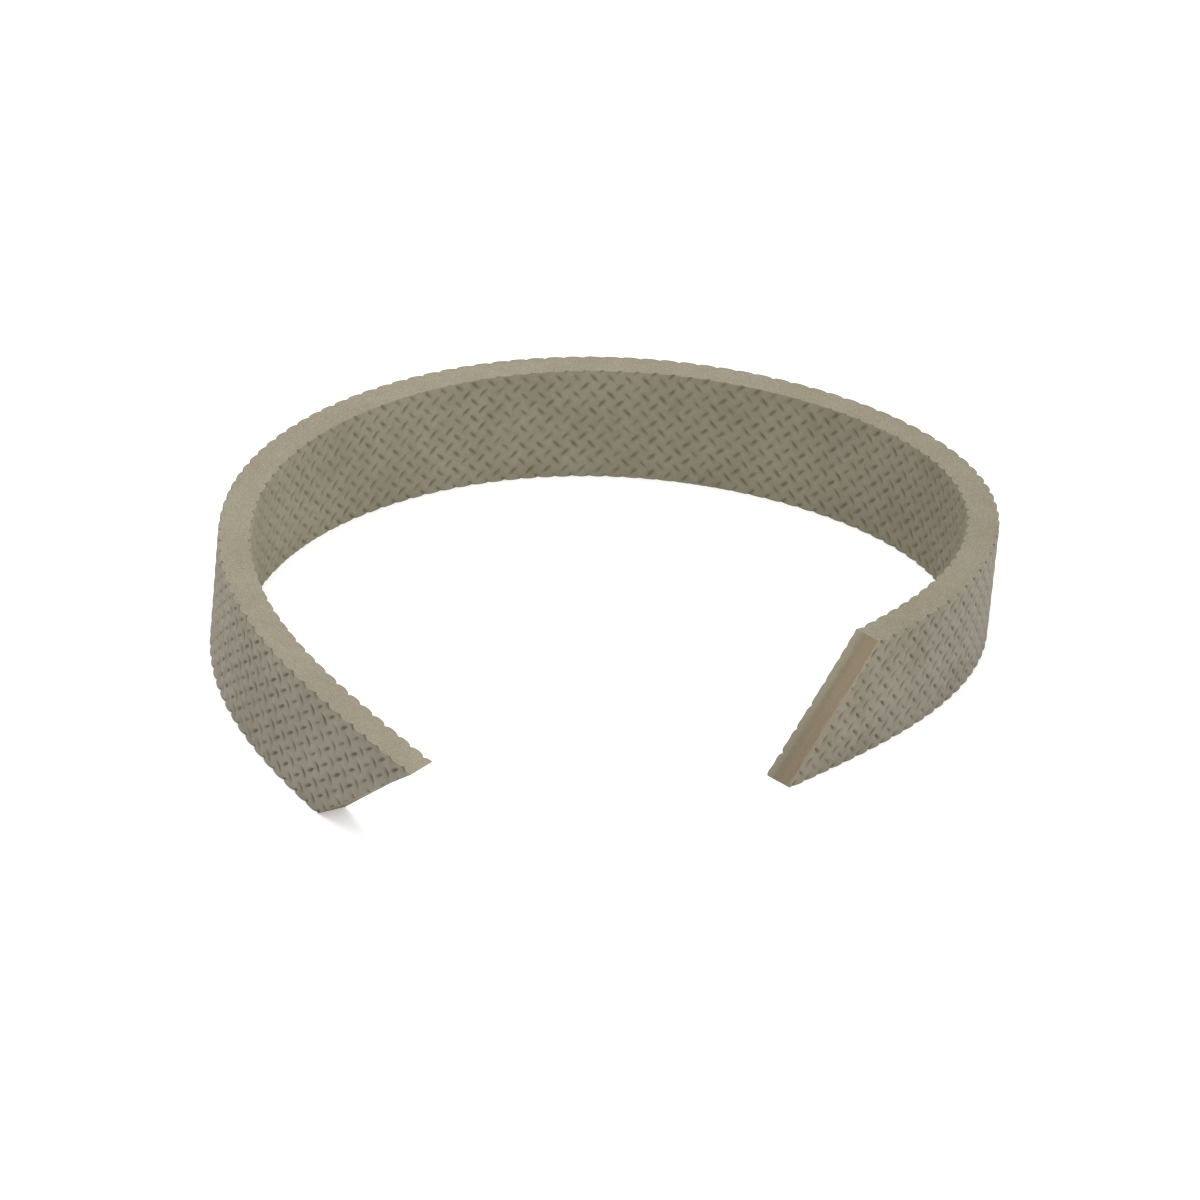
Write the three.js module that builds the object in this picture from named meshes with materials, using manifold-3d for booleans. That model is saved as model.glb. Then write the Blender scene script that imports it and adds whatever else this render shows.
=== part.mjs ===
// A moulded rubber strip, the replaceable track of a wheel or pulley, standing on its edge and curled
// into an open C. Three bonded plies follow one curled centre line, and both ends are cut on a bias for
// a splice. Millimetres, +Z up, the strip rests on its lower edge at z = 0 with its footprint centred.
import * as THREE from "three";
import { mergeVertices } from "three/addons/utils/BufferGeometryUtils.js";
import Module from "manifold-3d";

const wasm = await Module();
wasm.setup();

// Driving dimensions.
const STRIP_HEIGHT = 38; // from the lower edge to the upper edge
const STRIP_LENGTH = 586; // along the centre line, at half height
const OUTER_PLY = 1.5; // thickness of the embossed rubber on the outside of the curl
const CORE_PLY = 5.0; // thickness of the brown rubber between the two embossed plies
const INNER_PLY = 3.5; // thickness of the embossed rubber on the inside of the curl

// The curl: how sharply the centre line turns, in degrees per 100 mm, at evenly spaced stations.
// The bend changes evenly from one station to the next. Positive turns clockwise seen from above.
const BEND = [6, 36, 48, 41, 48, 46, 86, 38, -7];
const FIRST_STATION = 8.5; // distance of the first station from the left end's middle
const STATION_SPACING = 75;
const LEFT_HEADING = 126.7; // direction of the centre line at the left end, in degrees from +X

// The splice cuts: how far each end leans from upright, its top towards the left end, and how far it is
// turned from square across the strip, the outer face running on further at the left end.
const LEFT_BIAS = 50.5;
const LEFT_SKEW = 18.5;
const RIGHT_BIAS = 43.5;
const RIGHT_SKEW = 0;

const STEP = 4; // spacing of the sections along the curl
const SPARE = 44; // extra length beyond each end's middle, which the splice cut removes

const THICKNESS = OUTER_PLY + CORE_PLY + INNER_PLY;

const RUBBER = {
  outer: { color: 0x8f8879, roughness: 0.85, metalness: 0 },
  core: { color: 0x9a7f66, roughness: 0.8, metalness: 0 },
  inner: { color: 0x857e6c, roughness: 0.85, metalness: 0 },
};

/** The bend at a distance along the strip, in radians per millimetre. */
function bendAt(distance) {
  const place = (distance - FIRST_STATION) / STATION_SPACING;
  const clamped = THREE.MathUtils.clamp(place, 0, BEND.length - 1);
  const before = Math.min(Math.floor(clamped), BEND.length - 2);
  const degrees = THREE.MathUtils.lerp(BEND[before], BEND[before + 1], clamped - before);
  return THREE.MathUtils.degToRad(degrees) / 100;
}

/** Walks the centre line from one distance to another and returns its sections. */
function walk(section, distance) {
  const steps = Math.max(1, Math.round(Math.abs(distance - section.distance) / STEP));
  const stride = (distance - section.distance) / steps;
  const sections = [section];
  for (let i = 0; i < steps; i++) {
    const last = sections[i];
    const turn = bendAt(last.distance + stride / 2) * stride;
    const heading = last.heading - turn;
    const chord = last.heading - turn / 2;
    sections.push({
      distance: last.distance + stride,
      heading,
      x: last.x + stride * Math.cos(chord),
      y: last.y + stride * Math.sin(chord),
    });
  }
  return sections;
}

const leftEnd = { distance: 0, heading: THREE.MathUtils.degToRad(LEFT_HEADING), x: 0, y: 0 };
const leftSpare = walk(leftEnd, -SPARE).reverse();
const body = walk(leftEnd, STRIP_LENGTH);
const rightEnd = body.at(-1);
const rightSpare = walk(rightEnd, STRIP_LENGTH + SPARE);
const centreLine = [...leftSpare, ...body.slice(1), ...rightSpare.slice(1)];

/** A point in plan, a distance outwards from the centre line. */
function offsetPoint({ x, y, heading }, outwards) {
  return new THREE.Vector2(x - outwards * Math.sin(heading), y + outwards * Math.cos(heading));
}

/** Turns a three.js geometry, optionally moved by a matrix, into a solid for cutting. */
function toSolid(geometry, matrix = new THREE.Matrix4()) {
  const bare = geometry.clone().applyMatrix4(matrix);
  bare.deleteAttribute("normal");
  bare.deleteAttribute("uv");
  const merged = mergeVertices(bare, 1e-5);
  return new wasm.Manifold(
    new wasm.Mesh({
      numProp: 3,
      vertProperties: new Float32Array(merged.attributes.position.array),
      triVerts: new Uint32Array(merged.index.array),
    }),
  );
}

/** Turns a cut solid back into a geometry with flat facets. */
function toGeometry(solid) {
  const { vertProperties, triVerts } = solid.getMesh();
  const geometry = new THREE.BufferGeometry();
  geometry.setAttribute("position", new THREE.BufferAttribute(vertProperties, 3));
  geometry.setIndex(new THREE.BufferAttribute(triVerts, 1));
  const faceted = geometry.toNonIndexed();
  faceted.computeVertexNormals();
  return faceted;
}

/** The block of waste beyond one end: its near face is the splice plane, through the end's middle. */
function endWaste(end, bias, skew, away) {
  const reach = 1.5 * SPARE;
  const width = 5 * THICKNESS;
  const height = 3 * SPARE;
  const along = new THREE.Vector3(Math.cos(end.heading), Math.sin(end.heading), 0);
  const lean = Math.tan(THREE.MathUtils.degToRad(bias));
  const turn = Math.tan(THREE.MathUtils.degToRad(skew));
  const up = new THREE.Vector3(0, 0, 1).addScaledVector(along, -lean);
  const across = new THREE.Vector3(-along.y, along.x, 0).addScaledVector(along, -turn);
  across.normalize().multiplyScalar(away);
  const out = new THREE.Vector3().crossVectors(across, up).normalize();
  const rise = new THREE.Vector3().crossVectors(out, across);
  const middle = new THREE.Vector3(end.x, end.y, STRIP_HEIGHT / 2);
  const basis = new THREE.Matrix4().makeBasis(out, across, rise);
  basis.setPosition(middle.addScaledVector(out, reach / 2));
  return toSolid(new THREE.BoxGeometry(reach, width, height), basis);
}

const wastes = [
  endWaste(leftEnd, LEFT_BIAS, LEFT_SKEW, -1),
  endWaste(rightEnd, RIGHT_BIAS, RIGHT_SKEW, 1),
];

/** One ply between two distances outwards from the centre line, with both splice cuts made. */
function makePly(name, from, to, finish) {
  const inside = centreLine.map((section) => offsetPoint(section, from));
  const outside = centreLine.map((section) => offsetPoint(section, to));
  const outline = new THREE.Shape([...inside, ...outside.reverse()]);
  const blank = new THREE.ExtrudeGeometry(outline, { depth: STRIP_HEIGHT, bevelEnabled: false });
  const cut = wastes.reduce((solid, waste) => solid.subtract(waste), toSolid(blank));
  const mesh = new THREE.Mesh(toGeometry(cut), new THREE.MeshStandardMaterial(finish));
  mesh.name = name;
  return mesh;
}

const innerFace = -THICKNESS / 2;
const innerBond = innerFace + INNER_PLY;
const outerBond = innerBond + CORE_PLY;
const outerFace = THICKNESS / 2;

const strip = new THREE.Group();
strip.add(makePly("inner_grip_ply", innerFace, innerBond, RUBBER.inner));
strip.add(makePly("brown_core_ply", innerBond, outerBond, RUBBER.core));
strip.add(makePly("outer_grip_ply", outerBond, outerFace, RUBBER.outer));

// The footprint is centred on the origin.
const footprint = new THREE.Box3().setFromObject(strip).getCenter(new THREE.Vector3());
strip.position.set(-footprint.x, -footprint.y, 0);

export default strip;
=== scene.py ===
"""A length of moulded rubber track strip, standing on its edge and curled into an open C.

Three bonded plies follow one curled centre line. The two outer plies carry the crossed impression of
a woven wire cloth as real relief. The long edges are trimmed square and both ends are cut on a bias,
ready for a splice. Lengths are in metres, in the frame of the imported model.
"""
import logging
import math
from dataclasses import dataclass, field
from enum import Enum
from typing import Sequence

import bmesh
import bpy
import numpy as np
from mathutils import Matrix, Vector


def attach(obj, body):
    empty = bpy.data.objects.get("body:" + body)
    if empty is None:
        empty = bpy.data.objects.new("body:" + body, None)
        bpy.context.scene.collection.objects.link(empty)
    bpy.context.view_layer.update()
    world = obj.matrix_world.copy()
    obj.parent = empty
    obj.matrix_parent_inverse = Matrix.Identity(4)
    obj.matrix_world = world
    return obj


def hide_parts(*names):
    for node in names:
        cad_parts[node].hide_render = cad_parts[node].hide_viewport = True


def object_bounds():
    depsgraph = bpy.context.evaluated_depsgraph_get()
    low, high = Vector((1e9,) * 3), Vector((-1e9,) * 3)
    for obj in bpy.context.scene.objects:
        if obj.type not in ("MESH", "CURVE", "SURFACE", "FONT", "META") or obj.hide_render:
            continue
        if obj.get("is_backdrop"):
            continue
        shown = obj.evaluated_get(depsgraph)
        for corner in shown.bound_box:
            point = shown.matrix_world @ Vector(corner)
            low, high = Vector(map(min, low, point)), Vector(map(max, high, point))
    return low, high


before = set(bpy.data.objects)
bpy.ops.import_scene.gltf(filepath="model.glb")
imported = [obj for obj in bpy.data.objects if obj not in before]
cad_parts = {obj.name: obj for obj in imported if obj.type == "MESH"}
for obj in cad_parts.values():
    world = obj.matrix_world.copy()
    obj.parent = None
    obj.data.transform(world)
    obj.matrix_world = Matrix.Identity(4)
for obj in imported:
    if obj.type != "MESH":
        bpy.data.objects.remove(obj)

log = logging.getLogger("track_strip")

MERGE_DISTANCE = 2e-7
WIRE_MERGE_DISTANCE = 1e-3
FACES_AN_EDGE = 0.9
WHOLE_STRIP = "root"

Colour = tuple[float, float, float]
Place = tuple[float, float, float]


def linear(red: int, green: int, blue: int) -> Colour:
    """Turn a screen colour into the linear light that a shader mixes.

    Args:
        red: Red, from 0 to 255.
        green: Green, from 0 to 255.
        blue: Blue, from 0 to 255.

    Returns:
        The three linear values, from 0 to 1.
    """
    shares = (channel / 255 for channel in (red, green, blue))
    return tuple(s / 12.92 if s <= 0.04045 else ((s + 0.055) / 1.055) ** 2.4 for s in shares)


# ---------------------------------------------------------------- the strip's form


@dataclass(frozen=True)
class Strip:
    """The sizes that all the plies share."""

    height: float = 0.038
    length: float = 0.586
    spare: float = 0.026
    left_bias: float = 50.5
    left_skew: float = 18.5
    left_skew_fades: tuple[float, float] = (0.026, 0.090)
    right_bias: float = 43.5
    outer_face: float = 0.005
    outer_bond: float = 0.0035
    inner_bond: float = -0.0015
    inner_face: float = -0.005

    def splice_cuts(self) -> list[tuple[Vector, Vector]]:
        """Give the two bias cuts on the flat strip.

        Returns:
            A point on each cut and the direction that points into the waste.
        """
        left, right = math.radians(self.left_bias), math.radians(self.right_bias)
        middle = self.height / 2
        return [
            (Vector((0, middle, 0)), Vector((-math.cos(left), -math.sin(left), 0))),
            (Vector((self.length, middle, 0)), Vector((math.cos(right), math.sin(right), 0))),
        ]

    def skewed(self, flat: np.ndarray, outwards: np.ndarray) -> np.ndarray:
        """Turn the left cut from square, more at the top than at the bottom, where the blade came round.

        Args:
            flat: The points of a flat ply.
            outwards: How far outside the centre line each point is.

        Returns:
            The distance of each point along the strip, with the left end drawn askew.
        """
        start, end = self.left_skew_fades
        share = np.clip((end - flat[:, 0]) / (end - start), 0, 1)
        share = share * share * (3 - 2 * share)
        drawn = self.outer_face + (outwards - self.outer_face) * flat[:, 1] / self.height
        return flat[:, 0] - math.tan(math.radians(self.left_skew)) * drawn * share

    def edge_cuts(self) -> list[tuple[Vector, Vector]]:
        """Give the two long trimmed edges as a point and a direction into the waste."""
        return [(Vector((0, 0, 0)), Vector((0, -1, 0))), (Vector((0, self.height, 0)), Vector((0, 1, 0)))]


@dataclass
class Curl:
    """The curled centre line, walked from the left end to the right end.

    The bend at each station is in degrees over the bend's reach, and it changes evenly in between.
    """

    strip: Strip
    bend: Sequence[float] = (6, 36, 48, 41, 48, 46, 86, 38, -7)
    bend_reach: float = 0.1
    first_station: float = 0.0085
    station_spacing: float = 0.075
    left_heading: float = 126.7
    stride: float = 0.0005
    distance: np.ndarray = field(init=False)
    heading: np.ndarray = field(init=False)
    plan: np.ndarray = field(init=False)

    def __post_init__(self) -> None:
        """Walk the line once, from well before the left cut to well beyond the right one."""
        ahead = round((self.strip.length + self.strip.spare) / self.stride)
        behind = round(self.strip.spare / self.stride)
        self.distance = np.arange(-behind, ahead + 1) * self.stride
        middles = (self.distance[:-1] + self.distance[1:]) / 2
        stations = self.first_station + self.station_spacing * np.arange(len(self.bend))
        turns = np.radians(np.interp(middles, stations, self.bend)) / self.bend_reach * self.stride
        heading = -np.concatenate(([0.0], np.cumsum(turns)))
        self.heading = heading - heading[behind] + math.radians(self.left_heading)
        chords = (self.heading[:-1] + self.heading[1:]) / 2
        steps = self.stride * np.stack((np.cos(chords), np.sin(chords)), axis=1)
        self.plan = np.concatenate((np.zeros((1, 2)), np.cumsum(steps, axis=0)))

    def centre_in(self, low: Vector, high: Vector) -> None:
        """Slide the line so that the strip's outer face touches the model's box.

        Args:
            low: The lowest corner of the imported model.
            high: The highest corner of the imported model.
        """
        kept = (self.distance >= 0) & (self.distance <= self.strip.length)
        outer = self.points(self.distance[kept], self.strip.outer_face)
        middle_x = (outer[:, 0].min() + outer[:, 0].max()) / 2
        self.plan += np.array([(low.x + high.x) / 2 - middle_x, high.y - outer[:, 1].max()])

    def points(self, distance: np.ndarray, outwards: np.ndarray | float) -> np.ndarray:
        """Find points in plan, a distance outwards from the centre line.

        Args:
            distance: How far along the strip each point is.
            outwards: How far outside the centre line each point is.

        Returns:
            One row of x and y for each point.
        """
        heading = np.interp(distance, self.distance, self.heading)
        x = np.interp(distance, self.distance, self.plan[:, 0])
        y = np.interp(distance, self.distance, self.plan[:, 1])
        return np.stack((x - outwards * np.sin(heading), y + outwards * np.cos(heading)), axis=1)


@dataclass(frozen=True)
class ClothLay:
    """How a wire cloth lay on the sheet: its repeats, counted along the strip and up it.

    Each station gives a distance along the strip and both counts there at half height. The cloth gave
    a little under the press, so its repeats aren't all the same length, and it leans slightly.
    """

    stations: tuple[tuple[float, float, float], ...]
    lean: float
    rise: float
    repeat: float = 0.00593
    half_height: float = 0.019
    settling_rounds: int = 6

    def counts(self, along: np.ndarray, up: np.ndarray) -> tuple[np.ndarray, np.ndarray]:
        """Count the repeats at a place.

        Args:
            along: The distance along the flat strip.
            up: The height on the flat strip.

        Returns:
            The count along the strip, and the count up it.
        """
        distance, lengthwise, upright = np.array(self.stations).T
        above = (up - self.half_height) / self.repeat
        return (
            np.interp(along, distance, lengthwise) + self.lean * above,
            np.interp(along, distance, upright) + self.rise * above,
        )

    def place(self, lengthwise: np.ndarray, upright: np.ndarray) -> tuple[np.ndarray, np.ndarray]:
        """Find the place that has these counts, by settling on it from half height.

        Args:
            lengthwise: The count along the strip.
            upright: The count up the strip.

        Returns:
            The distance along the flat strip, and the height.
        """
        distance, counted, level = np.array(self.stations).T
        above = np.zeros_like(lengthwise)
        for _ in range(self.settling_rounds):
            along = np.interp(lengthwise - self.lean * above, counted, distance)
            above = (upright - np.interp(along, distance, level)) / self.rise
        return along, self.half_height + above * self.repeat

    def spread(self, strip: Strip) -> tuple[float, float, float, float]:
        """Find the lowest and highest counts on a strip and its spare ends.

        Args:
            strip: The strip's sizes.

        Returns:
            The lowest and highest count along it, and the lowest and highest count up it.
        """
        places = np.linspace(-strip.spare, strip.length + strip.spare, 200)
        edges = [self.counts(places, np.full_like(places, height)) for height in (0.0, strip.height)]
        lengthwise = np.concatenate([edge[0] for edge in edges])
        upright = np.concatenate([edge[1] for edge in edges])
        return lengthwise.min(), lengthwise.max(), upright.min(), upright.max()


@dataclass(frozen=True)
class ClothImpression:
    """What a plain-woven wire cloth, laid at 45 degrees, pressed into a broad face.

    Each slit is a narrow core in a broad shoulder, both measured in wires, as are the lines of the
    grid between one wire and the next. A crown is left in the middle of each square, and the whole
    face stands slightly proud. The pressure varies with the distance along the strip.
    """

    lay: ClothLay
    depth: float = 0.0009
    core: float = 0.13
    core_share: float = 0.40
    shoulder: float = 0.60
    bite: float = 0.45
    crown: float = 0.0001
    proud: float = 0.00015
    unevenness: float = 0.22
    seed: int = 11
    table_size: tuple[int, int] = (61, 59)
    lines: Sequence[float] = (0.0, 0.075, 0.17, 0.32, 0.5, 0.68, 0.83, 0.925)
    pressure_at: Sequence[float] = (0.0, 1.0)
    pressure: Sequence[float] = (1.0, 1.0)

    def to_flat(self, rising: np.ndarray, falling: np.ndarray) -> tuple[np.ndarray, np.ndarray]:
        """Turn counts of wires into a place on the flat strip.

        Args:
            rising: The place among the wires, counted up and along the strip.
            falling: The place among the wires, counted up and back along the strip.

        Returns:
            The distance along the strip, and the height.
        """
        return self.lay.place((rising - falling) / 2, (rising + falling) / 2)

    def to_wires(self, along: np.ndarray, up: np.ndarray) -> tuple[np.ndarray, np.ndarray]:
        """Turn a place on the flat strip into counts of wires, the other way round."""
        lengthwise, upright = self.lay.counts(along, up)
        return upright + lengthwise, upright - lengthwise

    def pressed(self, run: np.ndarray, across: np.ndarray, shift: int) -> np.ndarray:
        """Find how deep one set of wires pressed at each place.

        Args:
            run: The place along the wires, in wires of the other set.
            across: The place across the wires, in wires of this set.
            shift: 0 where an even wire bites at even places, and 1 where it bites at odd ones.

        Returns:
            A share of the full depth, from 0 where the set didn't touch to 1.
        """
        nearest = np.round(across)
        rise = np.cos(np.pi * (run + nearest + shift))
        sunk = np.clip((rise + self.bite) / (1 + self.bite), 0, 1)
        away = np.abs(across - nearest)
        shoulder = (1 - np.clip(away / self.shoulder, 0, 1)) ** 2
        core = 1 - np.clip(away / self.core, 0, 1) ** 2
        table = np.random.default_rng(self.seed + shift).uniform(-1, 1, self.table_size)
        bite_at = 2 * np.round((run + nearest + shift) / 2) - nearest - shift
        rows, columns = self.table_size
        uneven = table[nearest.astype(int) % rows, bite_at.astype(int) % columns] * self.unevenness
        return sunk * (1 + uneven) * (core * self.core_share + shoulder * (1 - self.core_share))

    def relief(self, along: np.ndarray, up: np.ndarray) -> tuple[np.ndarray, np.ndarray]:
        """Find the pressed shape of the face.

        Args:
            along: The distance along the flat strip.
            up: The height on the flat strip.

        Returns:
            How far below the face each place lies, and how much of a slit it is in, from 0 to 1.
        """
        rising, falling = self.to_wires(along, up)
        slit = np.maximum(self.pressed(rising, falling, 1), self.pressed(falling, rising, 0))
        slit *= np.interp(along, self.pressure_at, self.pressure)
        pillow = (np.cos(2 * np.pi * rising) + np.cos(2 * np.pi * falling) + 2) / 4
        return self.crown * pillow + self.depth * slit - self.proud, slit


# ---------------------------------------------------------------- finishes


class Bench:
    """A material's node tree, with short calls for the nodes that the finishes share."""

    def __init__(self, name: str) -> None:
        """Start an empty material with a shader and an output."""
        self.material = bpy.data.materials.new(name)
        self.material.use_nodes = True
        self.tree = self.material.node_tree
        self.tree.nodes.clear()
        self.shader = self.tree.nodes.new("ShaderNodeBsdfPrincipled")
        output = self.tree.nodes.new("ShaderNodeOutputMaterial")
        self.join(self.shader.outputs["BSDF"], output.inputs["Surface"])
        self.place = self.tree.nodes.new("ShaderNodeTexCoord").outputs["Object"]

    def join(self, start: bpy.types.NodeSocket, end: bpy.types.NodeSocket) -> None:
        """Link two sockets."""
        self.tree.links.new(start, end)

    def attribute(self, name: str, output: str = "Fac") -> bpy.types.NodeSocket:
        """Read one of the piece's own attributes."""
        node = self.tree.nodes.new("ShaderNodeAttribute")
        node.attribute_name = name
        return node.outputs[output]

    def stretched(self, source: bpy.types.NodeSocket, scale: Place) -> bpy.types.NodeSocket:
        """Stretch a place unevenly, for grain that runs one way.

        Args:
            source: The place to stretch.
            scale: The stretch along each axis.

        Returns:
            The stretched place.
        """
        node = self.tree.nodes.new("ShaderNodeMapping")
        node.inputs["Scale"].default_value = scale
        self.join(source, node.inputs["Vector"])
        return node.outputs["Vector"]

    def noise(
        self, scale: float, detail: float = 2.0, rough: float = 0.5, at: bpy.types.NodeSocket | None = None
    ) -> bpy.types.NodeSocket:
        """Make a cloudy noise.

        Args:
            scale: Clouds per metre.
            detail: How many finer layers are added.
            rough: How strong the finer layers are.
            at: The place that is read, or None for the piece's own place.

        Returns:
            The noise, around 0.5.
        """
        node = self.tree.nodes.new("ShaderNodeTexNoise")
        node.inputs["Scale"].default_value = scale
        node.inputs["Detail"].default_value = detail
        node.inputs["Roughness"].default_value = rough
        self.join(self.place if at is None else at, node.inputs["Vector"])
        return node.outputs["Fac"]

    def specks(self, scale: float, reach: float) -> bpy.types.NodeSocket:
        """Make scattered round specks.

        Args:
            scale: Cells per metre.
            reach: The radius of a speck, as a share of a cell.

        Returns:
            1 in the middle of a speck and 0 outside it.
        """
        node = self.tree.nodes.new("ShaderNodeTexVoronoi")
        node.inputs["Scale"].default_value = scale
        self.join(self.place, node.inputs["Vector"])
        return self.fade(node.outputs["Distance"], reach, 0.0)

    def fade(self, source: bpy.types.NodeSocket, start: float, end: float) -> bpy.types.NodeSocket:
        """Stretch a range of a value to 0 to 1, smoothly and clamped.

        Args:
            source: The value to stretch.
            start: Where the result is 0.
            end: Where the result is 1.

        Returns:
            The stretched value.
        """
        node = self.tree.nodes.new("ShaderNodeMapRange")
        node.interpolation_type = "SMOOTHSTEP"
        if start < end:
            bounds = {"From Min": start, "From Max": end, "To Min": 0.0, "To Max": 1.0}
        else:
            bounds = {"From Min": end, "From Max": start, "To Min": 1.0, "To Max": 0.0}
        for name, value in bounds.items():
            node.inputs[name].default_value = value
        self.join(source, node.inputs["Value"])
        return node.outputs["Result"]

    def sum(
        self, parts: Sequence[tuple[bpy.types.NodeSocket, float]], start: float = 0.0
    ) -> bpy.types.NodeSocket:
        """Add several values, each by its own weight.

        Args:
            parts: Each value and its weight.
            start: What is added to them all.

        Returns:
            The sum.
        """
        total: bpy.types.NodeSocket | None = None
        for source, weight in parts:
            node = self.tree.nodes.new("ShaderNodeMath")
            node.operation = "MULTIPLY_ADD"
            node.inputs[1].default_value = weight
            self.join(source, node.inputs[0])
            if total is None:
                node.inputs[2].default_value = start
            else:
                self.join(total, node.inputs[2])
            total = node.outputs["Value"]
        return total

    def part(self, source: bpy.types.NodeSocket, axis: str) -> bpy.types.NodeSocket:
        """Take one axis of a place."""
        node = self.tree.nodes.new("ShaderNodeSeparateXYZ")
        self.join(source, node.inputs["Vector"])
        return node.outputs[axis]

    def product(self, first: bpy.types.NodeSocket, second: bpy.types.NodeSocket) -> bpy.types.NodeSocket:
        """Multiply two values."""
        node = self.tree.nodes.new("ShaderNodeMath")
        node.operation = "MULTIPLY"
        self.join(first, node.inputs[0])
        self.join(second, node.inputs[1])
        return node.outputs["Value"]

    def tint(
        self,
        share: bpy.types.NodeSocket,
        under: bpy.types.NodeSocket | Colour,
        over: bpy.types.NodeSocket | Colour,
    ) -> bpy.types.NodeSocket:
        """Mix two colours.

        Args:
            share: How much of the second colour shows.
            under: The first colour.
            over: The second colour.

        Returns:
            The mixed colour.
        """
        node = self.tree.nodes.new("ShaderNodeMix")
        node.data_type = "RGBA"
        self.join(share, node.inputs["Factor"])
        for source, socket in ((under, node.inputs[6]), (over, node.inputs[7])):
            if isinstance(source, bpy.types.NodeSocket):
                self.join(source, socket)
            else:
                socket.default_value = (*source, 1.0)
        return node.outputs[2]

    def darkened_towards(
        self, base: bpy.types.NodeSocket, axis: str, start: float, end: float, share: float
    ) -> bpy.types.NodeSocket:
        """Darken a colour gradually towards one end or edge of the strip.

        Args:
            base: The colour.
            axis: X for a distance along the strip, Z for a height.
            start: Where the darkening starts.
            end: Where it is full.
            share: How much darker it gets.

        Returns:
            The darkened colour.
        """
        reach = self.fade(self.part(self.attribute("strip_place", "Vector"), axis), start, end)
        return self.tint(self.sum([(reach, share)]), base, (0.0, 0.0, 0.0))

    def finish(
        self,
        colour: bpy.types.NodeSocket,
        rough: bpy.types.NodeSocket,
        height: bpy.types.NodeSocket,
        deep: float,
        shine: float,
    ) -> bpy.types.Material:
        """Feed the shader.

        Args:
            colour: The surface's colour.
            rough: The surface's roughness.
            height: The height of its fine grain, from 0 to 1.
            deep: How deep the grain is, in metres.
            shine: How strongly it mirrors.

        Returns:
            The finished material.
        """
        grain = self.tree.nodes.new("ShaderNodeBump")
        grain.inputs["Strength"].default_value = 1.0
        grain.inputs["Distance"].default_value = deep
        self.join(height, grain.inputs["Height"])
        self.join(grain.outputs["Normal"], self.shader.inputs["Normal"])
        self.join(colour, self.shader.inputs["Base Color"])
        self.join(rough, self.shader.inputs["Roughness"])
        self.shader.inputs["Specular IOR Level"].default_value = shine
        return self.material


@dataclass(frozen=True)
class GripRubber:
    """The moulded face: matte rubber with bloom in clouds, slits darkened with painted shade and some
    dirt, and a dusting of pale specks.

    The darkening is painted shade, where the light falls off along the strip; its three numbers say where
    it starts, where it is full, and how much darker it gets.
    """

    name: str
    bloomed: Colour
    plain: Colour
    slit: Colour
    dust: Colour = linear(196, 190, 174)
    gloss: float = 0.30
    roughness: float = 0.80
    grain_depth: float = 0.00016
    # Painted shade: darker towards the right end, where the light falls off.
    darkening: tuple[float, float, float] = (0.27, 0.46, 0.16)

    def mix(self) -> bpy.types.Material:
        """Mix the finish.

        Returns:
            The material.
        """
        bench = Bench(self.name)
        clouds = bench.sum([(bench.noise(28, 3, 0.55), 0.6), (bench.noise(150, 3, 0.6), 0.4)])
        base = bench.tint(bench.fade(clouds, 0.34, 0.66), self.plain, self.bloomed)
        mottle = bench.noise(900, 3, 0.6)
        base = bench.tint(bench.fade(mottle, 0.60, 0.80), base, self.bloomed)
        # Painted shade, with some dirt: the slit colour darkens the face where the cloth pressed in.
        sunk = bench.fade(bench.attribute("slit"), 0.25, 0.9)
        base = bench.tint(sunk, base, self.slit)
        dusted = bench.product(bench.specks(620, 0.10), bench.fade(mottle, 0.5, 0.7))
        base = bench.tint(dusted, base, self.dust)
        # Painted shade: darker towards one end of the strip, where the light falls off.
        base = bench.darkened_towards(base, "X", *self.darkening)
        rough = bench.sum([(clouds, -0.10), (mottle, 0.12)], self.roughness)
        height = bench.sum([(bench.noise(2600, 3, 0.6), 0.6), (mottle, 0.4)])
        return bench.finish(base, rough, height, self.grain_depth, self.gloss)


@dataclass(frozen=True)
class TrimmedRubber:
    """The long edge where a blade slit the sheet: paler, with fine grain drawn along the cut."""

    name: str
    pale: Colour
    drawn: Colour
    pit: Colour
    sparkle: Colour = linear(170, 164, 145)
    gloss: float = 0.38
    roughness: float = 0.62
    grain_depth: float = 0.00020
    # Painted shade: darker towards the right end, where the light falls off.
    darkening: tuple[float, float, float] = (0.28, 0.50, 0.10)

    def mix(self) -> bpy.types.Material:
        """Mix the finish.

        Returns:
            The material.
        """
        bench = Bench(self.name)
        lengthwise = bench.stretched(bench.attribute("strip_place", "Vector"), (0.16, 1.0, 1.0))
        streaks = bench.noise(1500, 3, 0.6, lengthwise)
        clouds = bench.noise(60, 3, 0.6)
        base = bench.tint(
            bench.fade(bench.sum([(streaks, 0.5), (clouds, 0.5)]), 0.36, 0.64), self.drawn, self.pale
        )
        crumbs = bench.noise(2600, 2, 0.6)
        base = bench.tint(bench.fade(crumbs, 0.45, 0.28), base, self.pit)
        base = bench.tint(bench.fade(crumbs, 0.56, 0.72), base, self.sparkle)
        # Painted shade: darker towards the right end, where the light falls off.
        base = bench.darkened_towards(base, "X", *self.darkening)
        rough = bench.sum([(streaks, 0.16), (crumbs, 0.14)], self.roughness)
        height = bench.sum([(crumbs, 0.6), (streaks, 0.4)])
        return bench.finish(base, rough, height, self.grain_depth, self.gloss)


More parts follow.
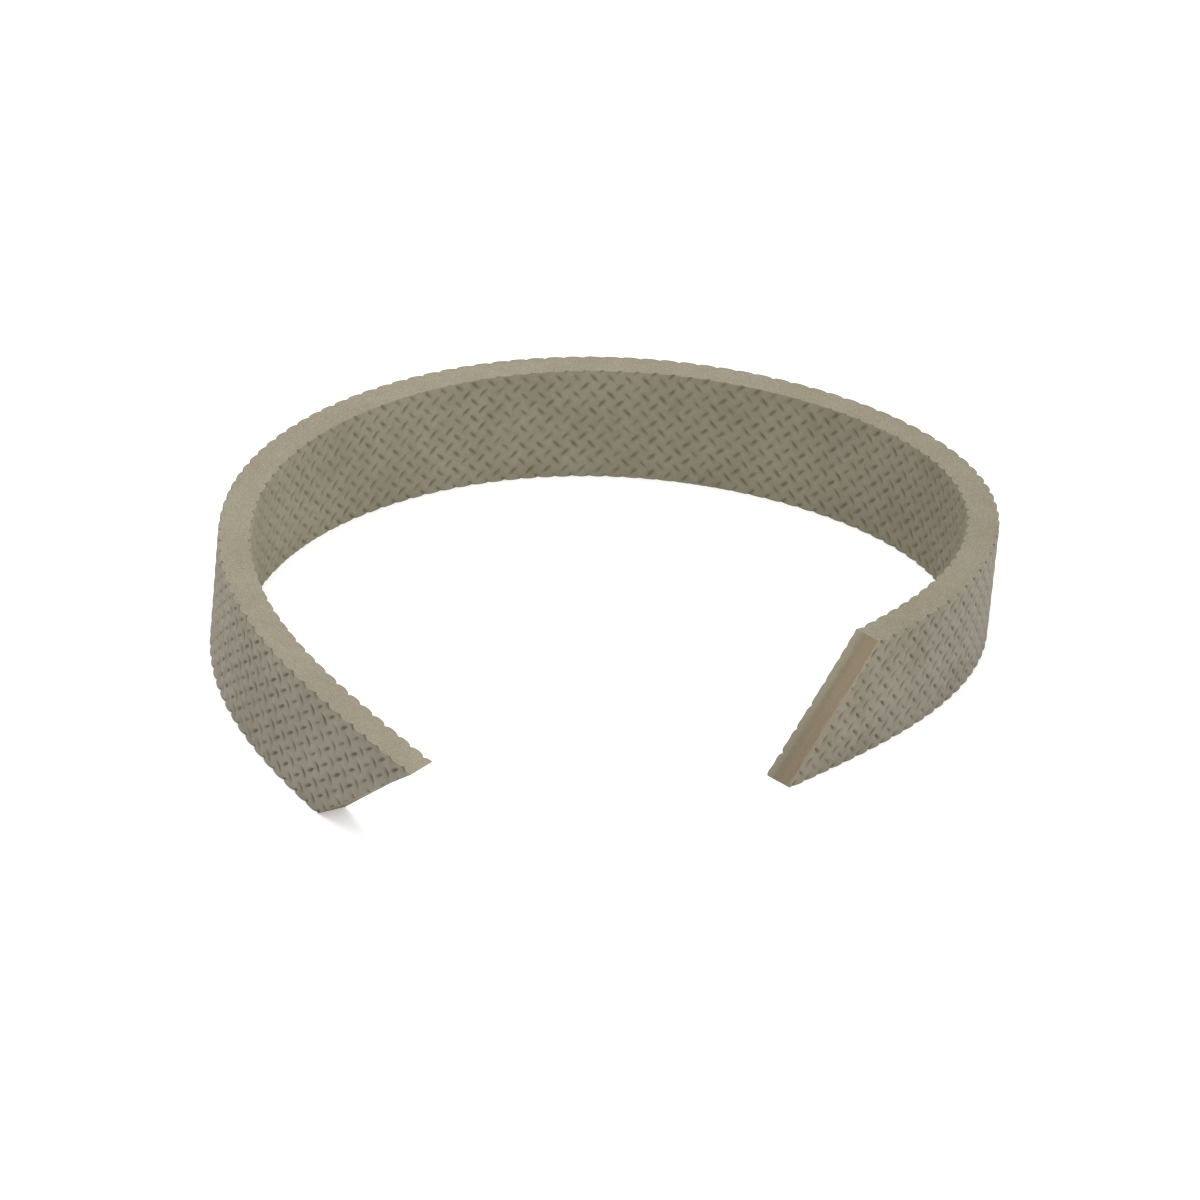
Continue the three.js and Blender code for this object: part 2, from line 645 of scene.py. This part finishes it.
@dataclass(frozen=True)
class CutRubber:
    """The bias cut through all the plies: olive inside, brown in the middle and a pale line outside.

    The borders between the colours wander a little. The cut gets darker towards the lower edge.
    """

    name: str
    inner: Colour
    core: Colour
    deep_core: Colour
    outer: Colour
    crumb: Colour
    inner_border: float = -0.0015
    outer_border: float = 0.0035
    wander: float = 0.0028
    gloss: float = 0.32
    roughness: float = 0.66
    grain_depth: float = 0.00035
    darkening: tuple[float, float, float] = (0.030, 0.004, 0.16)

    def mix(self) -> bpy.types.Material:
        """Mix the finish.

        Returns:
            The material.
        """
        bench = Bench(self.name)
        clouds = bench.noise(170, 4, 0.65)
        strip_place = bench.attribute("strip_place", "Vector")
        outwards = bench.part(strip_place, "Y")
        across = bench.sum([(outwards, 1.0), (clouds, self.wander)], -self.wander / 2)
        brown = bench.tint(bench.fade(across, 0.0, self.outer_border), self.core, self.deep_core)
        olive_ends = bench.fade(across, self.inner_border - 0.0013, self.inner_border + 0.0011)
        base = bench.tint(olive_ends, self.inner, brown)
        pale_starts = bench.fade(across, self.outer_border - 0.0003, self.outer_border + 0.0005)
        base = bench.tint(pale_starts, base, self.outer)
        chatter = bench.noise(900, 3, 0.6, bench.stretched(strip_place, (1.0, 1.0, 0.12)))
        torn = bench.noise(1700, 4, 0.65)
        crumbs = bench.sum([(bench.fade(torn, 0.55, 0.76), 0.7)])
        base = bench.tint(crumbs, base, self.crumb)
        base = bench.darkened_towards(base, "Z", *self.darkening)
        rough = bench.sum([(torn, 0.16), (chatter, 0.10)], self.roughness)
        height = bench.sum([(torn, 0.55), (chatter, 0.45)])
        return bench.finish(base, rough, height, self.grain_depth, self.gloss)


class Ply(Enum):
    """The three plies of rubber, by the model's own names."""

    OUTER = "outer_grip_ply"
    CORE = "brown_core_ply"
    INNER = "inner_grip_ply"


@dataclass(frozen=True)
class Finishes:
    """Every finish of the strip, mixed once and shared by the plies."""

    outer_grip: GripRubber = GripRubber(
        "outer grip rubber",
        bloomed=linear(132, 127, 111),
        plain=linear(120, 114, 98),
        # Painted shade, with some dirt, in the slits.
        slit=linear(99, 92, 76),
        gloss=0.45,
        # Painted shade: darker towards the left tip, where less light falls.
        darkening=(0.075, 0.015, 0.10),
    )
    inner_grip: GripRubber = GripRubber(
        "inner grip rubber",
        bloomed=linear(137, 132, 113),
        plain=linear(126, 121, 102),
        # Painted shade, with some dirt, in the slits.
        slit=linear(120, 114, 94),
    )
    trimmed: TrimmedRubber = TrimmedRubber(
        "trimmed edge rubber",
        pale=linear(141, 135, 116),
        drawn=linear(131, 125, 105),
        pit=linear(108, 102, 83),
    )
    cut: CutRubber = CutRubber(
        "cut rubber",
        inner=linear(135, 128, 109),
        core=linear(131, 118, 97),
        deep_core=linear(127, 113, 90),
        outer=linear(141, 131, 108),
        crumb=linear(148, 138, 118),
    )

    def mix(self) -> dict[Ply, list[bpy.types.Material]]:
        """Mix them all.

        Returns:
            For each ply, the materials of its broad face, its trimmed edges and its cut ends.
        """
        edge, cut = self.trimmed.mix(), self.cut.mix()
        return {
            Ply.OUTER: [self.outer_grip.mix(), edge, cut],
            Ply.CORE: [cut, edge, cut],
            Ply.INNER: [self.inner_grip.mix(), edge, cut],
        }


class Zone(Enum):
    """The parts of a ply's surface, each with its own finish."""

    BROAD = 0
    TRIMMED = 1
    CUT = 2


# ---------------------------------------------------------------- plies


@dataclass
class FlatPly:
    """One ply, made flat and then bent along the curl.

    On the flat strip x runs along it, y runs up it, and z runs from the bond to the broad face.
    """

    ply: Ply
    piece_name: str
    slot_name: str
    strip: Strip
    curl: Curl
    bond: float
    face: float
    station: float = 0.004

    @property
    def thick(self) -> float:
        """The ply's thickness."""
        return abs(self.face - self.bond)

    def blank(self, mesh: bmesh.types.BMesh) -> None:
        """Lay the flat sheet that the ply is cut from, at the height of the broad face.

        Args:
            mesh: The empty mesh to lay it in.
        """
        length = self.strip.length + 2 * self.strip.spare
        bmesh.ops.create_grid(mesh, x_segments=round(length / self.station), y_segments=1, size=0.5)
        bmesh.ops.scale(mesh, vec=(length, self.strip.height, 1), verts=mesh.verts)
        middle = Vector((self.strip.length / 2, self.strip.height / 2, self.thick))
        bmesh.ops.translate(mesh, vec=middle, verts=mesh.verts)

    def trim(self, mesh: bmesh.types.BMesh) -> None:
        """Trim the sheet to the strip's long edges and bias ends.

        Args:
            mesh: The sheet.
        """
        for point, waste in [*self.strip.edge_cuts(), *self.strip.splice_cuts()]:
            parts = [*mesh.verts, *mesh.edges, *mesh.faces]
            bmesh.ops.bisect_plane(
                mesh, geom=parts, dist=MERGE_DISTANCE, plane_co=point, plane_no=waste, clear_outer=True
            )
        bmesh.ops.dissolve_degenerate(mesh, dist=MERGE_DISTANCE, edges=mesh.edges)

    def thicken(self, mesh: bmesh.types.BMesh) -> None:
        """Draw the sheet's rim back to the bond, close the back and give each zone its finish.

        Args:
            mesh: The trimmed sheet.
        """
        rim = [edge for edge in mesh.edges if edge.is_boundary]
        drawn = bmesh.ops.extrude_edge_only(mesh, edges=rim)["geom"]
        walls = [part for part in drawn if isinstance(part, bmesh.types.BMFace)]
        back_verts = [part for part in drawn if isinstance(part, bmesh.types.BMVert)]
        bmesh.ops.translate(mesh, vec=(0, 0, -self.thick), verts=back_verts)
        back_rim = [part for part in drawn if isinstance(part, bmesh.types.BMEdge) and part.is_boundary]
        back = bmesh.ops.contextual_create(mesh, geom=back_rim)["faces"]
        for face in walls:
            face.normal_update()
            face.material_index = (Zone.TRIMMED if abs(face.normal.y) > FACES_AN_EDGE else Zone.CUT).value
        for face in back:
            face.material_index = Zone.CUT.value
        self.section_back(mesh, back)
        bmesh.ops.recalc_face_normals(mesh, faces=mesh.faces)
        for edge in mesh.edges:
            edge.smooth = len({face.material_index for face in edge.link_faces}) == 1
        for face in mesh.faces:
            face.smooth = True

    def section_back(self, mesh: bmesh.types.BMesh, back: list[bmesh.types.BMFace]) -> None:
        """Cut the back into short lengths, so that it can bend.

        Args:
            mesh: The thickened sheet.
            back: The faces of the back.
        """
        reach = self.strip.spare
        for place in np.arange(-reach, self.strip.length + reach, self.station):
            span = [face for face in back if face.is_valid and self.reaches_past(face, place)]
            if not span:
                continue
            edges = [edge for face in span for edge in face.edges]
            verts = [vert for face in span for vert in face.verts]
            parts = list(dict.fromkeys([*span, *edges, *verts]))
            cut = bmesh.ops.bisect_plane(
                mesh, geom=parts, dist=MERGE_DISTANCE, plane_co=(place, 0, 0), plane_no=(1, 0, 0)
            )["geom"]
            pieces = [part for part in cut if isinstance(part, bmesh.types.BMFace)]
            back += [piece for piece in pieces if piece not in back]

    @staticmethod
    def reaches_past(face: bmesh.types.BMFace, place: float) -> bool:
        """Tell whether a face starts before a place along the strip and ends beyond it."""
        along = [vert.co.x for vert in face.verts]
        return min(along) < place < max(along)

    def press(self, flat: np.ndarray) -> np.ndarray:
        """Shape the broad face. A plain ply has nothing pressed into it.

        Args:
            flat: The flat ply's points, which are moved.

        Returns:
            How much of a slit each point is in, from 0 to 1.
        """
        return np.zeros(len(flat))

    def outwards(self, flat: np.ndarray) -> np.ndarray:
        """Find how far outside the centre line each flat point belongs."""
        return self.bond + flat[:, 2] * math.copysign(1, self.face - self.bond)

    def wrap(self, flat: np.ndarray) -> np.ndarray:
        """Bend flat points along the curl.

        Args:
            flat: The flat ply's points.

        Returns:
            The same points in the model's frame.
        """
        outwards = self.outwards(flat)
        plan = self.curl.points(self.strip.skewed(flat, outwards), outwards)
        return np.column_stack((plan, flat[:, 1]))

    def build(self, finishes: dict[Ply, list[bpy.types.Material]]) -> bpy.types.Object:
        """Make the ply, dress it and put it in place of its plain solid.

        Args:
            finishes: The mixed materials of every ply.

        Returns:
            The finished piece.
        """
        work = bmesh.new()
        self.blank(work)
        self.trim(work)
        self.thicken(work)
        mesh = bpy.data.meshes.new(self.piece_name)
        work.to_mesh(mesh)
        work.free()

        flat = np.empty(len(mesh.vertices) * 3)
        mesh.vertices.foreach_get("co", flat)
        flat = flat.reshape(-1, 3)
        slit = self.press(flat)
        mesh.vertices.foreach_set("co", self.wrap(flat).ravel())
        if self.face > self.bond:
            mesh.flip_normals()
        place = mesh.attributes.new("strip_place", "FLOAT_VECTOR", "POINT")
        strip_place = np.column_stack((flat[:, 0], self.outwards(flat), flat[:, 1]))
        place.data.foreach_set("vector", strip_place.ravel())
        mesh.attributes.new("slit", "FLOAT", "POINT").data.foreach_set("value", slit)
        mesh.update()

        piece = bpy.data.objects.new(self.piece_name, mesh)
        bpy.context.collection.objects.link(piece)
        for finish in finishes[self.ply]:
            mesh.materials.append(finish)
        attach(piece, WHOLE_STRIP)
        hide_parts(self.ply.value)
        triangles = sum(len(polygon.vertices) - 2 for polygon in mesh.polygons)
        log.info("%s: %d faces, %d triangles", self.piece_name, len(mesh.polygons), triangles)
        return piece


@dataclass
class EmbossedPly(FlatPly):
    """A ply with the wire cloth pressed into its broad face."""

    cloth: ClothImpression = field(kw_only=True)

    def blank(self, mesh: bmesh.types.BMesh) -> None:
        """Lay a sheet whose lines follow the wires, closer together where a wire bites.

        The sheet is laid out in counts of rising and falling wires first. One column of squares is
        copied along it, and then every point goes to the place that has its counts.

        Args:
            mesh: The empty mesh to lay it in.
        """
        foremost, hindmost, lowest, highest = self.cloth.lay.spread(self.strip)
        bottom, top = math.floor(2 * lowest) - 1, math.ceil(2 * highest)
        rows, fine = top - bottom, len(self.cloth.lines)
        bmesh.ops.create_grid(mesh, x_segments=fine, y_segments=fine * rows, size=0.5)
        for vert in mesh.verts:
            column, row = round((vert.co.x + 0.5) * fine), round((vert.co.y + 0.5) * fine * rows)
            vert.co.x = column // fine + self.cloth.lines[column % fine]
            vert.co.y = bottom + row // fine + self.cloth.lines[row % fine]
        first = [*mesh.verts, *mesh.edges, *mesh.faces]
        leftmost, rightmost = math.floor(foremost + lowest) - 1, math.ceil(hindmost + highest) + 1
        for column in range(leftmost + 1, rightmost):
            copy = bmesh.ops.duplicate(mesh, geom=first)["geom"]
            moved = [part for part in copy if isinstance(part, bmesh.types.BMVert)]
            shift = column - leftmost
            bmesh.ops.translate(mesh, vec=(shift, -shift, 0), verts=moved)
        bmesh.ops.translate(mesh, vec=(leftmost, -leftmost, 0), verts=mesh.verts)
        bmesh.ops.remove_doubles(mesh, verts=mesh.verts, dist=WIRE_MERGE_DISTANCE)
        wires = np.array([vert.co for vert in mesh.verts])
        along, up = self.cloth.to_flat(wires[:, 0], wires[:, 1])
        for vert, x, y in zip(mesh.verts, along.tolist(), up.tolist()):
            vert.co = (x, y, self.thick)

    def press(self, flat: np.ndarray) -> np.ndarray:
        """Press the cloth into the broad face.

        Args:
            flat: The flat ply's points, which are moved.

        Returns:
            How much of a slit each point is in, from 0 to 1.
        """
        front = flat[:, 2] > self.thick / 2
        sunk, slit = self.cloth.relief(flat[:, 0], flat[:, 1])
        flat[front, 2] -= sunk[front]
        return np.where(front, slit, 0.0)


# ---------------------------------------------------------------- studio


@dataclass(frozen=True)
class Softbox:
    """A soft rectangular light that faces the strip."""

    name: str
    place: Place
    size: tuple[float, float]
    power: float

    def hang(self, target: Vector) -> None:
        """Hang the light and turn it to a target.

        Args:
            target: The point that it faces.
        """
        light = bpy.data.lights.new(self.name, "AREA")
        light.shape = "RECTANGLE"
        light.size, light.size_y = self.size
        light.energy = self.power
        lamp = bpy.data.objects.new(self.name, light)
        bpy.context.collection.objects.link(lamp)
        lamp.location = self.place
        lamp.rotation_euler = (target - Vector(self.place)).to_track_quat("-Z", "Y").to_euler()


@dataclass(frozen=True)
class Studio:
    """The plain pale floor, the soft lights and the camera."""

    target: Place = (-0.00135, 0.01198, 0.019)
    distance: float = 3.078
    elevation: float = 29.0
    roll: float = 5.445
    lens: float = 300.0
    sensor: float = 36.0
    floor_size: float = 12.0
    floor_colour: Colour = (0.93, 0.93, 0.93)
    floor_glow: float = 0.28
    floor_roughness: float = 0.9
    floor_gloss: float = 0.1
    sky: float = 0.92
    lights: tuple[Softbox, ...] = (
        Softbox("overhead softbox", (-0.15, 0.0, 1.5), (1.4, 1.2), 10.8),
        Softbox("right softbox", (1.5, 0.0, 0.8), (1.0, 0.8), 2.2),
        Softbox("left softbox", (-1.5, 0.7, 0.7), (0.8, 0.8), 1.4),
    )

    def lay_floor(self) -> None:
        """Lay the floor under the strip."""
        work = bmesh.new()
        bmesh.ops.create_grid(work, x_segments=1, y_segments=1, size=self.floor_size / 2)
        mesh = bpy.data.meshes.new("studio_floor")
        work.to_mesh(mesh)
        work.free()
        paint = bpy.data.materials.new("studio floor paint")
        paint.use_nodes = True
        shader = paint.node_tree.nodes["Principled BSDF"]
        shader.inputs["Base Color"].default_value = (*self.floor_colour, 1.0)
        shader.inputs["Roughness"].default_value = self.floor_roughness
        shader.inputs["Emission Color"].default_value = (1.0, 1.0, 1.0, 1.0)
        shader.inputs["Emission Strength"].default_value = self.floor_glow
        shader.inputs["Specular IOR Level"].default_value = self.floor_gloss
        mesh.materials.append(paint)
        floor = bpy.data.objects.new("studio_floor", mesh)
        bpy.context.collection.objects.link(floor)
        floor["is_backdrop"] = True

    def light(self) -> None:
        """Hang the lights and set the pale surroundings."""
        world = bpy.data.worlds.new("studio surroundings")
        world.use_nodes = True
        glow = world.node_tree.nodes["Background"]
        glow.inputs["Color"].default_value = (1.0, 1.0, 1.0, 1.0)
        glow.inputs["Strength"].default_value = self.sky
        bpy.context.scene.world = world
        for box in self.lights:
            box.hang(Vector(self.target))
        bpy.context.scene.view_settings.view_transform = "Standard"

    def set_camera(self) -> None:
        """Stand the camera in front of the strip and lean it by the roll."""
        lens = bpy.data.cameras.new("studio_camera")
        lens.lens = self.lens
        lens.sensor_width = self.sensor
        lens.clip_start, lens.clip_end = 0.05, 50.0
        camera = bpy.data.objects.new("studio_camera", lens)
        bpy.context.collection.objects.link(camera)
        tilt = Matrix.Rotation(math.radians(90 - self.elevation), 4, "X")
        lean = Matrix.Rotation(math.radians(self.roll), 4, "Z")
        back = (tilt @ Vector((0, 0, self.distance, 0))).to_3d()
        camera.matrix_world = Matrix.Translation(Vector(self.target) + back) @ tilt @ lean
        bpy.context.scene.camera = camera

    def set_up(self) -> None:
        """Set the whole studio up."""
        self.lay_floor()
        self.light()
        self.set_camera()
        log.info("studio: floor, %d softboxes and camera", len(self.lights))


# ---------------------------------------------------------------- how the two cloths lay


OUTER_LAY = ClothLay(
    stations=(
        (-0.0300, -8.467, 0.180), (0.0237, -0.653, 0.201), (0.0434, 2.263, 0.240),
        (0.0627, 5.169, 0.265), (0.0821, 8.136, 0.228), (0.0920, 9.663, 0.180),
        (0.1500, 18.550, 0.280), (0.4450, 68.350, 0.280), (0.4970, 77.902, 0.231),
        (0.5150, 81.121, 0.236), (0.5350, 84.597, 0.241), (0.5530, 87.721, 0.218),
        (0.6150, 98.480, 0.218),
    ),
    lean=0.090,
    rise=1.035,
)
INNER_LAY = ClothLay(
    stations=(
        (-0.0300, -26.700, 0.800), (0.0220, -19.150, 0.800), (0.0620, -13.320, 0.640),
        (0.0920, -8.830, 0.620), (0.1500, 0.059, 0.875), (0.1850, 5.310, 0.930),
        (0.2100, 9.202, 0.985), (0.2350, 13.208, 1.040), (0.2600, 17.294, 1.107),
        (0.2850, 21.456, 1.173), (0.3100, 25.716, 1.239), (0.3350, 30.048, 1.367),
        (0.3600, 34.438, 1.503), (0.3850, 38.859, 1.613), (0.4100, 43.322, 1.677),
        (0.4350, 47.931, 1.800), (0.4450, 49.836, 1.870), (0.4970, 59.270, 1.820),
        (0.5530, 68.820, 1.780), (0.6150, 79.600, 1.780),
    ),
    lean=0.045,
    rise=1.0,
)


# ---------------------------------------------------------------- the whole strip


def main(cad: Sequence[Vector]) -> None:
    """Build the studio and the three plies, in order.

    Args:
        cad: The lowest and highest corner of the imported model.
    """
    logging.basicConfig(level=logging.INFO, format="%(name)s: %(message)s")
    strip = Strip()
    curl = Curl(strip)
    curl.centre_in(*cad)
    finishes = Finishes().mix()
    outer_cloth = ClothImpression(
        OUTER_LAY, pressure_at=(0.0, 0.05, 0.49, 0.54, 0.60), pressure=(0.95, 1.0, 1.0, 0.88, 0.84)
    )
    inner_cloth = ClothImpression(INNER_LAY, depth=0.0009)
    plies = [
        EmbossedPly(
            Ply.OUTER, "outer_embossed_rubber", "outer_rubber", strip, curl,
            strip.outer_bond, strip.outer_face, cloth=outer_cloth,
        ),
        FlatPly(
            Ply.CORE, "brown_core_rubber", "core_rubber", strip, curl,
            strip.inner_bond, strip.outer_bond,
        ),
        EmbossedPly(
            Ply.INNER, "inner_embossed_rubber", "inner_rubber", strip, curl,
            strip.inner_bond, strip.inner_face, cloth=inner_cloth,
        ),
    ]
    for ply in plies:
        ply.build(finishes)
    Studio().set_up()


if __name__ == "__main__":
    main(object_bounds())
